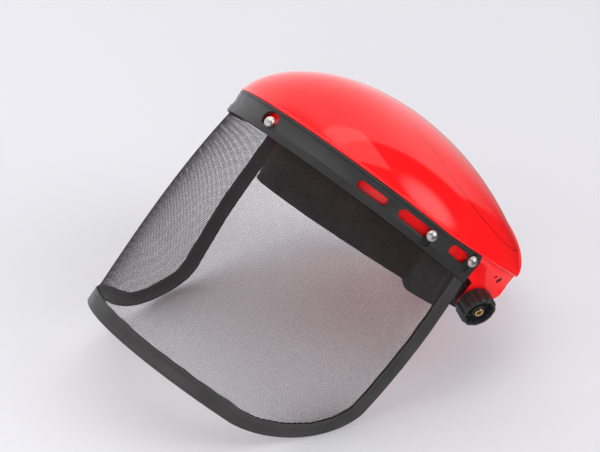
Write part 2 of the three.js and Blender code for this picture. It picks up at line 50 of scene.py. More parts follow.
REST_PITCH = 46.9
PIVOT = Vector((0, 65, -24))
tilt = next(joint for joint in frame["joints"] if joint["name"] == "tilt")
laid_down = (
    Matrix.Translation(tilt["pos_m"])
    @ Matrix.Rotation(math.radians(-REST_PITCH), 4, "X")
    @ Matrix.Scale(0.001, 4)
    @ Matrix.Translation(-PIVOT)
)

GAP = 0.35
BAND_TOP = -2
RIM_HALF_WIDTH = 123.4
RIM_DEPTH = 102
RIM_SPLAY = math.radians(3)
CROWN_HEIGHT = 66.7
CROWN_PEAK_Y = 27
CROWN_BACK_DROP = 25.5
FRONT_ROUND = 2.14
ARCH_ROUND = 1.66
REAR_TAPER = 12
REAR_RIM_Y = 84.9
REAR_LEAN = 16.4
RIM_RISE = 9.8
RISE_FROM_Y = -20
RISE_CURVE = 1.15
GUARD_WALL = 2.2
RIM_LEDGE = 3
LEDGE_FADE = 7
RIM_BEAD = 1.1


def blank(name, corners, faces):
    """A new piece in the wearer's frame, with its loose corners welded and its faces turned out."""
    mesh = bpy.data.meshes.new(name)
    mesh.from_pydata([tuple(corner) for corner in corners], [], faces)
    work = bmesh.new()
    work.from_mesh(mesh)
    bmesh.ops.remove_doubles(work, verts=work.verts, dist=1e-4)
    bmesh.ops.dissolve_degenerate(work, edges=work.edges, dist=1e-5)
    bmesh.ops.recalc_face_normals(work, faces=work.faces)
    work.to_mesh(mesh)
    work.free()
    piece = bpy.data.objects.new(name, mesh)
    bpy.context.collection.objects.link(piece)
    return piece


def grid_faces(rows, columns, first=0, round_rows=False, round_columns=False):
    """The quads of a grid of points, row by row, joined round on itself where asked."""
    faces = []
    for i in range(rows if round_rows else rows - 1):
        for j in range(columns if round_columns else columns - 1):
            here, right = i * columns, (j + 1) % columns
            below = ((i + 1) % rows) * columns
            faces.append((first + here + j, first + here + right, first + below + right, first + below + j))
    return faces


def plate_faces(rows, columns):
    """The faces of a plate: its outer and inner grids of points, joined round their rims."""
    count = rows * columns
    faces = grid_faces(rows, columns) + grid_faces(rows, columns, first=count)
    rim = [i * columns for i in range(rows)] + [count - columns + j for j in range(1, columns)]
    rim += [i * columns + columns - 1 for i in range(rows - 2, -1, -1)] + list(range(columns - 2, 0, -1))
    for here, after in zip(rim, rim[1:] + rim[:1]):
        faces.append((here, after, after + count, here + count))
    return faces


def worked(piece, kind, **settings):
    """Works a piece with one modifier and keeps what comes out as its mesh."""
    modifier = piece.modifiers.new(kind.lower(), kind)
    for name, value in settings.items():
        setattr(modifier, name, value)
    graph = bpy.context.evaluated_depsgraph_get()
    result = bpy.data.meshes.new_from_object(piece.evaluated_get(graph))
    piece.modifiers.clear()
    piece.data = result


def joined(piece, tools, how):
    """Adds other bodies to a piece, or cuts them out of it, in one step, and throws the tools away."""
    bench = bpy.data.collections.new("bench")
    for tool in tools:
        bench.objects.link(tool)
    worked(piece, "BOOLEAN", operation=how, solver="EXACT", operand_type="COLLECTION", collection=bench)
    for tool in tools:
        bpy.data.objects.remove(tool)
    bpy.data.collections.remove(bench)


def set_down(piece, place, finish, body, nodes, crease=35):
    """Lays a finished piece where the solids are, gives it its finish and ties it to its body."""
    piece.data.transform(place)
    piece.data.polygons.foreach_set("use_smooth", [True] * len(piece.data.polygons))
    piece.data.set_sharp_from_angle(angle=math.radians(crease))
    piece.data.materials.clear()
    piece.data.materials.append(finish)
    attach(piece, body)
    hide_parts(*nodes)


def plan_curve(half_width, depth, centre_y):
    """Half of a plan curve by its length: a quarter of an ellipse, then a run that splays out."""
    turn = np.linspace(0, np.pi / 2, 1601)
    x = half_width * np.sin(turn)
    y = centre_y - depth * np.cos(turn)
    length = np.concatenate([[0], np.cumsum(np.hypot(np.diff(x), np.diff(y)))])
    straight = 200
    run = np.append(length, length[-1] + straight)
    x = np.append(x, x[-1] + straight * math.sin(RIM_SPLAY))
    y = np.append(y, y[-1] + straight * math.cos(RIM_SPLAY))
    return lambda s: (np.sign(s) * np.interp(np.abs(s), run, x), np.interp(np.abs(s), run, y)), length[-1]


WALL_HEIGHT = 196.4
BAND_HEIGHT = 21
BULGE = 0.048
BULGE_CENTRE_Y = -10.8
BULGE_SKEW = 0.85
RIGHT_LIFT = 9
LIFT_RUN = (115, 195)
RIGHT_TUCK = (7, -3.3, -3.5)
TUCK_RUN = (105, 165)
TUCK_LEVELS = (-145, -90)
top_curve, quarter = plan_curve(RIM_HALF_WIDTH, RIM_DEPTH, 0)
bottom_curve, _ = plan_curve(112.8, 174.4, 54.8)


def wall_point(s, z):
    """The curved wall that the skirt, band, mesh and binding follow: s along it and z up it.
    On the right the sheet rides up under the band's end and its lower corner is tucked in."""
    lifted = np.interp(z, (-WALL_HEIGHT, -BAND_HEIGHT, 0), (0, 1, 0))
    z = z + RIGHT_LIFT * smooth(-s, *LIFT_RUN) * lifted
    top_x, top_y = top_curve(s)
    low_x, low_y = bottom_curve(s)
    share = -z / WALL_HEIGHT
    below = np.clip((-BAND_HEIGHT - z) / (WALL_HEIGHT - BAND_HEIGHT), 0, 1)
    swell = 1 + BULGE * np.sin(np.pi * below ** BULGE_SKEW)
    x = swell * (top_x + (low_x - top_x) * share)
    y = BULGE_CENTRE_Y + swell * (top_y + (low_y - top_y) * share - BULGE_CENTRE_Y)
    tuck = smooth(-s, *TUCK_RUN) * np.interp(z, TUCK_LEVELS, (1, 0))
    point = np.stack(np.broadcast_arrays(x, y, z), -1)
    return point + np.array(RIGHT_TUCK) * np.broadcast_to(tuck, point.shape[:-1])[..., None]


def wall_normal(s, z):
    step = 0.5
    along = wall_point(s + step, z) - wall_point(s - step, z)
    up = wall_point(s, z + step) - wall_point(s, z - step)
    across = np.cross(along, up)
    return across / np.linalg.norm(across, axis=-1, keepdims=True)


def off_wall(s, z, distance):
    s, z, distance = np.broadcast_arrays(*(np.asarray(value, float) for value in (s, z, distance)))
    return wall_point(s, z) + wall_normal(s, z) * distance[..., None]


def rounded(corners, radius, steps=3):
    """An outline whose corners are turned to a small radius."""
    corners = np.asarray(corners, float)
    outline = []
    for before, corner, after in zip(np.roll(corners, 1, 0), corners, np.roll(corners, -1, 0)):
        back, ahead = before - corner, after - corner
        start = corner + back * min(radius / np.linalg.norm(back), 0.45)
        end = corner + ahead * min(radius / np.linalg.norm(ahead), 0.45)
        for t in np.linspace(0, 1, steps + 1):
            outline.append((1 - t) ** 2 * start + 2 * t * (1 - t) * corner + t ** 2 * end)
    return np.array(outline)


def drawn(name, section, stations, place, endless=False):
    """A closed section drawn through its stations; place puts a section point at a station."""
    section = np.asarray(section, float)
    stations = np.asarray(stations, float)
    corners = place(section[None, :, 0], section[None, :, 1], stations[:, None])
    rows, columns = len(stations), len(section)
    faces = grid_faces(rows, columns, round_rows=endless, round_columns=True)
    if not endless:
        faces += [tuple(range(columns)), tuple(range((rows - 1) * columns, rows * columns))]
    return blank(name, corners.reshape(-1, 3), faces)


def mix(low, high, share):
    return low + (high - low) * share


def smooth(value, low, high):
    t = np.clip((value - low) / (high - low), 0, 1)
    return t * t * (3 - 2 * t)


def rim_half_width(y):
    front = RIM_HALF_WIDTH * np.sqrt(np.clip(1 - (np.minimum(y, 0) / RIM_DEPTH) ** 2, 0, 1))
    return front - REAR_TAPER * (np.maximum(y, 0) / REAR_RIM_Y) ** 2.6


def rim_rise(y):
    """How far the rim, and the band's top with it, climbs towards the back."""
    return RIM_RISE * np.clip((y - RISE_FROM_Y) / (REAR_RIM_Y - RISE_FROM_Y), 0, 1) ** RISE_CURVE


def dome_height(x, y):
    """The dome's outer height over a plan point: an arch across, carried on a curve front to back."""
    run = np.clip((CROWN_PEAK_Y - y) / (RIM_DEPTH + CROWN_PEAK_Y), 0, 1)
    ahead = CROWN_HEIGHT * (1 - run ** FRONT_ROUND) ** (1 / FRONT_ROUND)
    behind = CROWN_HEIGHT - CROWN_BACK_DROP * (np.maximum(y - CROWN_PEAK_Y, 0) / 100) ** 2
    crown = np.where(y > CROWN_PEAK_Y, behind, ahead)
    easing = 6
    reach = np.hypot(x, easing) - easing
    width = np.maximum(np.hypot(rim_half_width(y), easing) - easing, 1e-6)
    share = np.clip(reach / width, 0, 1) ** ARCH_ROUND
    rim = BAND_TOP + GAP
    base = mix(rim + rim_rise(y), rim, np.sqrt(1 - share))
    return crown * (1 - share) ** (1 / ARCH_ROUND) + base


def dome_outline():
    """The dome's edge in plan: round the front rim, back along one side, over and forward again."""
    front = np.linspace(-np.pi / 2, np.pi / 2, 80, endpoint=False)
    side = np.linspace(0, REAR_RIM_Y, 14, endpoint=False)
    over = np.linspace(0, np.pi, 52, endpoint=False)
    rear_y = REAR_RIM_Y + REAR_LEAN * np.sin(over)
    rear_x = rim_half_width(rear_y) * np.sign(np.cos(over)) * np.abs(np.cos(over)) ** (2 / ARCH_ROUND)
    x = [RIM_HALF_WIDTH * np.sin(front), rim_half_width(side), rear_x, -rim_half_width(REAR_RIM_Y - side)]
    y = [-RIM_DEPTH * np.cos(front), side, rear_y, REAR_RIM_Y - side]
    return np.concatenate(x), np.concatenate(y)


def dome():
    """The dome as a shell: rings of points from its middle out to the edge, outside and in."""
    rings = 44
    middle_y = 20
    edge_x, edge_y = dome_outline()
    share = np.sin(np.linspace(0, np.pi / 2, rings + 1))[:, None]
    x = share * edge_x
    y = middle_y + share * (edge_y - middle_y)
    outer = np.stack([x, y, dome_height(x, y)], -1).reshape(-1, 3)
    columns = len(edge_x)
    faces = grid_faces(rings + 1, columns, round_columns=True)
    skin = bpy.data.meshes.new("skin")
    skin.from_pydata([tuple(corner) for corner in outer], [], faces)
    normals = np.array([vertex.normal for vertex in skin.vertices])
    normals *= np.sign(normals[columns:, 2].mean())
    normals[:columns] = (0, 0, 1)
    above_rim = outer[:, 2] - rim_rise(outer[:, 1])
    wall = GUARD_WALL + RIM_LEDGE * np.clip(1 - above_rim / LEDGE_FADE, 0, 1)
    inner = outer - normals * wall[:, None]
    inner[-columns:, 2] = np.where(edge_y < REAR_RIM_Y - 1, outer[-columns:, 2], inner[-columns:, 2])
    faces += grid_faces(rings + 1, columns, first=len(outer), round_columns=True)
    edge, inside = rings * columns, len(outer) + rings * columns
    for j in range(columns):
        k = (j + 1) % columns
        faces.append((edge + j, edge + k, inside + k, inside + j))
    bpy.data.meshes.remove(skin)
    return blank("brow_guard_shell", np.concatenate([outer, inner]), faces)


def rim_bead():
    """A small round bead along the dome's edge, which catches the light above the band."""
    edge_x, edge_y = dome_outline()
    edge_z = dome_height(edge_x, edge_y)
    run_x = np.roll(edge_x, -1) - np.roll(edge_x, 1)
    run_y = np.roll(edge_y, -1) - np.roll(edge_y, 1)
    length = np.hypot(run_x, run_y)
    turn = np.linspace(0, 2 * np.pi, 12, endpoint=False)
    section = RIM_BEAD * np.stack([np.cos(turn), np.sin(turn)], -1)

    def place(out, up, station):
        i = station.astype(int)
        out = out - RIM_BEAD / 3
        x = edge_x[i] + out * run_y[i] / length[i]
        y = edge_y[i] - out * run_x[i] / length[i]
        return np.stack(np.broadcast_arrays(x, y, edge_z[i] + RIM_BEAD * 0.8 + up), -1)

    return drawn("rim_bead", section, np.arange(len(edge_x)), place, endless=True)


SKIRT_DROP = 14.8
SKIRT_WALL = 2
SKIRT_INSET = 2.15
SKIRT_TOP = 2.5
SKIRT_SET_BACK = 3.4
SET_BACK_ENDS = (178, 192)
SKIRT_PAST_QUARTER = 36
EAR_LEAN = math.radians(20)
EAR_FLAT_FROM = -11
EAR_WALL = 2.4
EAR_PROUD = 0.06
EAR_TOP = 13
EAR_TUCK = 0.45
EAR_BOTTOM = -37
EAR_MIDDLE_Y = 66.5
KNOB_LEVEL = -26
ear_front = ([-26, -16, -14, 9], [56, 51, 24, 22])
ear_rear = ([-26, -14, 0, 9], [78, 81.8, 85.1, 86.8])


def skin_point(s, z, depth):
    """The skin of the skirt and ears: it follows the band's inside, then leans in to the knobs."""
    s, z, depth = np.broadcast_arrays(*(np.asarray(value, float) for value in (s, z, depth)))
    point = off_wall(s, z, -SKIRT_INSET - depth)
    y = np.abs(s) - quarter
    flat = np.clip(z / EAR_FLAT_FROM, 0, 1)
    upper = rim_half_width(y) - SKIRT_INSET
    plate = rim_half_width(PIVOT.y) - SKIRT_INSET
    tucked = EAR_TUCK * np.maximum(z - rim_rise(y), 0)
    ear_x = mix(upper, plate, flat) + np.minimum(z, 0) * math.tan(EAR_LEAN) - tucked - depth
    k = np.where(y > 0, smooth(y, 0, 40), 0)
    x = np.sign(s) * mix(np.abs(point[..., 0]), ear_x, k)
    return np.stack([x, mix(point[..., 1], y, k), mix(point[..., 2], z, k)], -1)


def skirt():
    """The skirt stands back from the band, and comes out to meet the ears."""
    reach = quarter + SKIRT_PAST_QUARTER
    corners = [(0, SKIRT_TOP), (0, -SKIRT_DROP), (SKIRT_WALL, -SKIRT_DROP), (SKIRT_WALL, SKIRT_TOP)]

    def place(depth, z, s):
        return skin_point(s, z, depth + SKIRT_SET_BACK * (1 - smooth(np.abs(s), *SET_BACK_ENDS)))

    return drawn("skirt", rounded(corners, 0.5), np.linspace(-reach, reach, 150), place)


def ear(side):
    """One ear: a leaning plate whose lower end is rounded about the knob."""
    straight = np.linspace(EAR_TOP, ear_front[0][0], 22)
    curved = ear_front[0][0] - (ear_front[0][0] - EAR_BOTTOM) * np.sin(np.linspace(0, np.pi / 2, 14)[1:])
    z = np.concatenate([straight, curved])[:, None]
    drop = np.clip((ear_front[0][0] - z) / (ear_front[0][0] - EAR_BOTTOM), 0, 1)
    narrow = np.sqrt(1 - drop ** 2)
    front = mix(EAR_MIDDLE_Y, np.interp(z, *ear_front), narrow)
    rear = mix(EAR_MIDDLE_Y, np.interp(z, *ear_rear), narrow)
    across = 16
    u = np.linspace(0, 1, across)
    y = mix(front, rear, u)
    faces_out = skin_point(side * (quarter + y), z, -EAR_PROUD)
    faces_in = skin_point(side * (quarter + y), z, EAR_WALL)
    corners = np.concatenate([faces_out.reshape(-1, 3), faces_in.reshape(-1, 3)])
    return blank("ear", corners, plate_faces(len(z), across))


def on_ear(side, y, z, distance=0.0):
    """Stands a part on an ear's outer face, with its own Z out along the knob's axis."""
    outward = Vector((side * math.cos(EAR_LEAN), 0, -math.sin(EAR_LEAN)))
    back = Vector((0, 1, 0))
    across = back.cross(outward)
    place = Matrix((across, back, outward)).transposed().to_4x4()
    place.translation = Vector(skin_point(side * (quarter + y), z, 0)) + outward * distance
    return place


def turned(name, rings, segments, ripples=0, place=None):
    """A turned body: rings of (radius, height, ripple depth), closed on its axis or on itself."""
    angle = np.linspace(0, 2 * np.pi, segments, endpoint=False)
    wave = (0.5 + 0.5 * np.cos(ripples * angle)) ** 2 if ripples else 0 * angle
    corners = []
    for radius, height, *ripple in rings:
        reach = radius - (ripple[0] if ripple else 0) * wave
        corners.append(np.stack([reach * np.cos(angle), reach * np.sin(angle), 0 * angle + height], -1))
    closed = rings[0][0] > 0
    faces = grid_faces(len(rings), segments, round_rows=closed, round_columns=True)
    piece = blank(name, np.concatenate(corners), faces)
    if place:
        piece.data.transform(place)
    return piece


def rod(radius, length, place):
    return turned("rod", [(0, -length), (radius, -length), (radius, length), (0, length)], 40, place=place)


def add_node(finish, kind, **values):
    """A shader node, with its sockets or settings filled in by name."""
    node = finish.node_tree.nodes.new("ShaderNode" + kind)
    for name, value in values.items():
        if name in node.inputs:
            node.inputs[name].default_value = value
        else:
            setattr(node, name, value)
    return node


def new_finish(name, colour, roughness, **sockets):
    """A new material; sockets that are the same all over go straight on its shader."""
    finish = bpy.data.materials.new(name)
    finish.use_nodes = True
    shader = finish.node_tree.nodes["Principled BSDF"]
    shader.inputs["Base Color"].default_value = (*colour, 1)
    shader.inputs["Roughness"].default_value = roughness
    for socket, value in sockets.items():
        shader.inputs[socket.replace("_", " ")].default_value = value
    return finish


def join(finish, output, node, socket):
    finish.node_tree.links.new(output, node.inputs[socket])


def shader_of(finish):
    return finish.node_tree.nodes["Principled BSDF"]


def grain(finish, scale, detail=3.0):
    """A noise over the piece; scale is in grains a metre."""
    place = add_node(finish, "TexCoord")
    noise = add_node(finish, "TexNoise", Scale=scale, Detail=detail, Roughness=0.55)
    join(finish, place.outputs["Object"], noise, "Vector")
    return noise.outputs["Fac"]


def vary_colour(finish, share, dark, light):
    ramp = add_node(finish, "ValToRGB")
    ramp.color_ramp.elements[0].position = 0.3
    ramp.color_ramp.elements[1].position = 0.7
    ramp.color_ramp.elements[0].color = (*dark, 1)
    ramp.color_ramp.elements[1].color = (*light, 1)
    join(finish, share, ramp, "Fac")
    join(finish, ramp.outputs["Color"], shader_of(finish), "Base Color")
    return ramp


def vary_roughness(finish, share, low, high):
    spread = add_node(finish, "MapRange")
    spread.inputs["From Min"].default_value = 0.3
    spread.inputs["From Max"].default_value = 0.7
    spread.inputs["To Min"].default_value = low
    spread.inputs["To Max"].default_value = high
    join(finish, share, spread, "Value")
    join(finish, spread.outputs["Result"], shader_of(finish), "Roughness")


def raise_grain(finish, height, depth, strength=1.0):
    """Turns a height from 0 to 1 into relief of a given depth in metres."""
    relief = add_node(finish, "Bump", Strength=strength, Distance=depth)
    join(finish, height, relief, "Height")
    join(finish, relief.outputs["Normal"], shader_of(finish), "Normal")


gloss_red = new_finish("gloss_red", (0.95, 0.010, 0.012), 0.09)
red = vary_colour(gloss_red, grain(gloss_red, 9), (0.93, 0.008, 0.010), (0.97, 0.013, 0.015))
vary_roughness(gloss_red, grain(gloss_red, 60, 5), 0.07, 0.12)
raise_grain(gloss_red, grain(gloss_red, 240, 2), 0.00003, 0.35)

# A faint darker line drawn into the red over the dome, from ear to ear. It lies
# where z + slope * y + bend * x * x comes to the height, within the half width.
HAIRLINE_HEIGHT = 51.5
HAIRLINE_SLOPE = 0.0448
HAIRLINE_BEND = 0.00227
HAIRLINE_HALF_WIDTH = 0.3
pitch = math.radians(REST_PITCH)
back = math.sin(pitch) + HAIRLINE_SLOPE * math.cos(pitch)
up = math.cos(pitch) - HAIRLINE_SLOPE * math.sin(pitch)
start = PIVOT.z + HAIRLINE_SLOPE * PIVOT.y - HAIRLINE_HEIGHT
start -= 1000 * (back * tilt["pos_m"][1] + up * tilt["pos_m"][2])
spot = add_node(gloss_red, "TexCoord")
height = add_node(gloss_red, "VectorMath", operation="DOT_PRODUCT")
height.inputs[1].default_value = (0, 1000 * back, 1000 * up)
spot_axes = add_node(gloss_red, "SeparateXYZ")
squared = add_node(gloss_red, "Math", operation="POWER")
squared.inputs[1].default_value = 2
bent = add_node(gloss_red, "Math", operation="MULTIPLY_ADD")
bent.inputs[1].default_value = HAIRLINE_BEND * 1e6
level = add_node(gloss_red, "Math", operation="ADD")
level.inputs[1].default_value = start
line = add_node(gloss_red, "Math", operation="COMPARE")
line.inputs[1].default_value = 0
line.inputs[2].default_value = HAIRLINE_HALF_WIDTH
darker = add_node(gloss_red, "MixRGB", blend_type="MULTIPLY")
darker.inputs["Color2"].default_value = (0.68, 0.5, 0.5, 1)
join(gloss_red, spot.outputs["Object"], height, 0)
join(gloss_red, spot.outputs["Object"], spot_axes, 0)
join(gloss_red, spot_axes.outputs["X"], squared, 0)
join(gloss_red, squared.outputs["Value"], bent, 0)
join(gloss_red, height.outputs["Value"], bent, 2)
join(gloss_red, bent.outputs["Value"], level, 0)
join(gloss_red, level.outputs["Value"], line, 0)
join(gloss_red, line.outputs["Value"], darker, "Fac")
join(gloss_red, red.outputs["Color"], darker, "Color1")
join(gloss_red, darker.outputs["Color"], shader_of(gloss_red), "Base Color")

guard = dome()
worked(guard, "BEVEL", width=1, segments=3, limit_method="ANGLE", angle_limit=math.radians(50))
joined(guard, [rim_bead(), skirt(), ear(-1), ear(1)], "UNION")
BOLT_HOLE = 2.95
STOP_HOLES = ((59.6, -2.4, 1.6), (67, -2.6, 2.7))
holes = []
for side in (-1, 1):
    holes.append(rod(BOLT_HOLE, 12, on_ear(side, PIVOT.y, KNOB_LEVEL)))
    for y, z, radius in STOP_HOLES:
        holes.append(rod(radius, 8, on_ear(side, y, z)))
joined(guard, holes, "DIFFERENCE")
guard.name = "brow_guard_moulding"
set_down(guard, laid_down, gloss_red, "visor", ["brow_guard"], crease=40)

# ---------------------------------------------------------------- visor band
# The visor band is a strip of satin black plastic, moulded flat and bent round the guard's rim.
# It has a rolled top edge, a thicker lip at the bottom, and slots that button over the studs.

BAND_REACH = 200
BAND_WALL = 1.8
LIP_TOP = -15
LIP_PROUD = 0.6
SLOTS = ((83, 107.8, -11.5, 5.9), (117.5, 149.5, -10.5, 7), (165.5, 187.5, -8.6, 6.8))
STUDS = ((146, -10.2), (190.2, -6.2))
LEG_WIDTH = 7
LEG_DEPTH = 9.2
FRONT_HOLE = (-5.5, -10.5, 17, 11)


def stacked(name, layers):
    """A body from outlines laid one over another, with its two ends closed."""
    count = len(layers[0])
    corners = [corner for layer in layers for corner in layer]
    faces = grid_faces(len(layers), count, round_columns=True)
    faces += [tuple(range(count)), tuple(range(len(corners) - count, len(corners)))]
    return blank(name, corners, faces)


def bar(name, outline, low, high, flare):
    """A cutter: an outline drawn through the band, with its top a little larger."""
    outline = np.asarray(outline, float)
    middle = outline.mean(0)
    away = outline - middle
    wide = middle + away * (1 + flare / np.abs(away).max(0))
    layers = [(low, outline), (-flare, outline), (0.7 + flare, wide), (high, wide)]
    return stacked(name, [[(s, z, d) for s, z in layer] for d, layer in layers])


def stadium(centre_s, centre_z, length, height):
    """An outline with two straight sides and two round ends, lying or upright."""
    r = min(length, height) / 2
    turn = np.linspace(-np.pi / 2, np.pi / 2, 14)
    reach_s, reach_z = length / 2 - r, height / 2 - r
    x = np.concatenate([np.cos(turn), -np.cos(turn)]) * r
    z = np.concatenate([np.sin(turn), -np.sin(turn)]) * r
    if reach_s:
        x += np.repeat([reach_s, -reach_s], len(turn))
        return np.stack([centre_s + x, centre_z + z], -1)
    z, x = x + np.repeat([reach_z, -reach_z], len(turn)), z
    return np.stack([centre_s - x, centre_z + z], -1)


def band_end(side):
    """What is trimmed off the band's end: its foot slants in and its top corner is rounded."""
    turn = np.linspace(0, np.pi / 2, 10)
    r = 5
    inner = [(BAND_REACH - 2.2, -30), (BAND_REACH - 0.1, BAND_TOP - r)]
    inner += [(BAND_REACH - 0.1 - r + r * math.cos(a), BAND_TOP - r + r * math.sin(a)) for a in turn[1:]]
    inner += [(BAND_REACH - 12, BAND_TOP + 0.02), (BAND_REACH - 12, 4)]
    inner += [(BAND_REACH + 6, 4), (BAND_REACH + 6, -30)]
    return stacked("end", [[(side * s, z, d) for s, z in inner] for d in (-5, 5)])


satin_black = new_finish("satin_black", (0.022, 0.021, 0.021), 0.38)
vary_colour(satin_black, grain(satin_black, 30), (0.018, 0.017, 0.0175), (0.027, 0.0255, 0.0255))
vary_roughness(satin_black, grain(satin_black, 110, 5), 0.32, 0.45)
raise_grain(satin_black, grain(satin_black, 1400, 3), 0.00004, 0.5)

section = [
    (-BAND_WALL, BAND_TOP - 0.35), (-1.45, BAND_TOP), (-0.4, BAND_TOP), (0, BAND_TOP - 0.15),
    (0.2, BAND_TOP - 0.6), (0.2, BAND_TOP - 1.4), (-0.05, BAND_TOP - 1.8), (-0.45, BAND_TOP - 2),
    (-0.45, BAND_TOP - 2.5), (0, BAND_TOP - 2.8), (0, LIP_TOP + 0.2), (0.16, LIP_TOP - 0.1),
    (LIP_PROUD, LIP_TOP - 0.5), (LIP_PROUD, 0.4 - BAND_HEIGHT), (0.25, -BAND_HEIGHT),
    (-1.45, -BAND_HEIGHT), (-BAND_WALL, 0.35 - BAND_HEIGHT),
]
flat_stations = np.linspace(-BAND_REACH, BAND_REACH, 201)
band = drawn("visor_band", section, flat_stations, lambda d, z, s: np.stack(np.broadcast_arrays(s, z, d), -1))
cutters = [bar("hole", stadium(*FRONT_HOLE), -4, 4, 0.35), band_end(-1), band_end(1)]
for side in (-1, 1):
    for start, end, z, height in SLOTS:
        run = stadium(side * (start + end) / 2, z, end - start, height)
        cutters.append(bar("slot", run, -4, 4, 0.35))
    for s, z in STUDS:
        foot = stadium(side * s, z - LEG_DEPTH / 2 + LEG_WIDTH / 4, LEG_WIDTH, LEG_DEPTH + LEG_WIDTH / 2)
        cutters.append(bar("leg", foot, -1.2, 4, 0.2))
joined(band, cutters, "DIFFERENCE")

# The flat strip's top edge is raised to follow the guard's rim, and the strip is bent round it.
flat = np.array([vertex.co for vertex in band.data.vertices])
flat[:, 1] += rim_rise(top_curve(flat[:, 0])[1]) * np.clip(flat[:, 1] / 8 + 1.25, 0, 1)
band.data.vertices.foreach_set("co", off_wall(flat[:, 0], flat[:, 1], flat[:, 2]).ravel())
band.name = "visor_band_moulding"
set_down(band, laid_down, satin_black, "visor", ["visor_band"], crease=38)

# ---------------------------------------------------------------- mesh visor
# The visor is a sheet of fine woven steel wire, painted dark grey, hung from the band and gripped
# by the binding. Every upright wire passes over and under the wires that run across.

CORNER_START = 119.8
CORNER_LENGTH = 80.4
CORNER_HEIGHT = 59
CORNER_ROUND = 1.69
CORNER_TOP = CORNER_HEIGHT - WALL_HEIGHT
MESH_TOP = -15.8
MESH_MIDDLE = -BAND_WALL - 0.7
WIRE_PITCH = 1.25
WIRE_RADIUS = 0.118
WEAVE = 0.12


def edge_reach(z, inset):
    """How far along the wall the visor's edge lies at a height, drawn in from the true edge."""
    side = mix(BAND_REACH, CORNER_START + CORNER_LENGTH, np.maximum(z, CORNER_TOP) / CORNER_TOP) - inset
    drop = np.clip((CORNER_TOP - z) / (CORNER_HEIGHT - inset), 0, 1)
    corner = CORNER_START + (CORNER_LENGTH - inset) * (1 - drop ** CORNER_ROUND) ** (1 / CORNER_ROUND)
    return np.where(z >= CORNER_TOP, side, corner)


def wires(name, upright, side):
    """The wires of one half: each has three points at every crossing, carried over and under in turn."""
    inset = 5.2
    columns = side * np.arange(0.0, BAND_REACH + 8, WIRE_PITCH)
    if upright and side < 0:
        columns = columns[1:]
    rows = np.arange(MESH_TOP, -WALL_HEIGHT + inset, -WIRE_PITCH)
    s, z = np.meshgrid(columns, rows, indexing="ij")
    over = np.where(np.add.outer(np.arange(len(columns)), np.arange(len(rows))) % 2, 1, -1)
    within = np.abs(s) < edge_reach(z, inset)
    if not upright:
        s, z, over, within = s.T, z.T, -over.T, within.T
    turn = np.radians([90, 210, 330])
    aside = WIRE_RADIUS * np.cos(turn)
    lift = MESH_MIDDLE + WEAVE * over[..., None] + WIRE_RADIUS * np.sin(turn)
    if upright:
        points = off_wall(s[..., None] + aside, z[..., None], lift)
    else:
        points = off_wall(s[..., None], z[..., None] + aside, lift)
    index = np.arange(s.size * 3).reshape(*s.shape, 3)
    here, ahead = index[:, :-1], index[:, 1:]
    both = within[:, :-1] & within[:, 1:]
    quads = np.stack([here, np.roll(here, -1, -1), np.roll(ahead, -1, -1), ahead], -1)[both].reshape(-1, 4)
    used, quads = np.unique(quads, return_inverse=True)
    mesh = bpy.data.meshes.new(name)
    mesh.from_pydata(points.reshape(-1, 3)[used].tolist(), [], quads.reshape(-1, 4).tolist())
    piece = bpy.data.objects.new(name, mesh)
    bpy.context.collection.objects.link(piece)
    return piece


wire_paint = new_finish("wire_paint", (0.08, 0.075, 0.077), 0.42, Metallic=0.5)
vary_colour(wire_paint, grain(wire_paint, 45), (0.067, 0.062, 0.064), (0.093, 0.088, 0.090))
vary_roughness(wire_paint, grain(wire_paint, 600, 3), 0.32, 0.46)

for name, upright, side in (
    ("mesh_upright_left", True, 1), ("mesh_upright_right", True, -1),
    ("mesh_across_left", False, 1), ("mesh_across_right", False, -1),
):
    woven = wires(name, upright, side)
    set_down(woven, laid_down, wire_paint, "visor", ["mesh_visor"], crease=75)

# ---------------------------------------------------------------- edge binding
# The binding is one length of black vinyl trim with a U section and rolled edges. It grips the
# mesh down both sides, round the corners and along the bottom, and puckers a little at the bends.

BINDING_WIDTH = 12
INNER_FLAP = 0.46


def edge_path(inset, share):
    """The binding's path from the left side's top (0) to the right side's (1), drawn in by inset."""
    half = 1 - np.abs(2 * share - 1)
    side = np.where(share < 0.5, 1, -1)
    down, bend = 0.3, 0.62
    side_z = mix(-BAND_HEIGHT - GAP, CORNER_TOP, np.clip(half / down, 0, 1))
    angle = np.clip((half - down) / (bend - down), 0, 1) * np.pi / 2
    power = 2 / CORNER_ROUND
    bend_s = CORNER_START + (CORNER_LENGTH - inset) * np.cos(angle) ** power
    bend_z = CORNER_TOP - (CORNER_HEIGHT - inset) * np.sin(angle) ** power
    foot_s = CORNER_START * np.clip((1 - half) / (1 - bend), 0, 1)
    s = np.where(half < down, edge_reach(side_z, inset), np.where(half < bend, bend_s, foot_s))
    z = np.where(half < down, side_z + 0 * inset, np.where(half < bend, bend_z, inset - WALL_HEIGHT))
    return side * s, z


def bound(inset, distance, share):
    """A point of the trim's section on its path: its free edges wander and pucker at the bends."""
    half = 1 - np.abs(2 * share - 1)
    within = (distance < 0) * (share > 0.5) * (1 - smooth(half, 0.4, 0.58))
    inset = inset * (1 + INNER_FLAP * within)
    bends = smooth(half, 0.34, 0.42) * (1 - smooth(half, 0.54, 0.64))
    free = smooth(inset, 7, 12)
    slack = (0.35 + 0.35 * within) * np.sin(share * 61) * np.sin(share * 23 + 1)
    slack = slack + 0.16 * np.sin(share * 211 + 2)
    pucker = bends * 0.22 * np.sin(share * 900)
    s, z = edge_path(inset + free * (slack + pucker), share)
    bulge = 0.10 * np.sin(share * 137) * np.sin(share * 31) + bends * free * 0.18 * np.sin(share * 900 + 1)
    return off_wall(s, z, MESH_MIDDLE + distance * (1 + 0.5 * bulge))


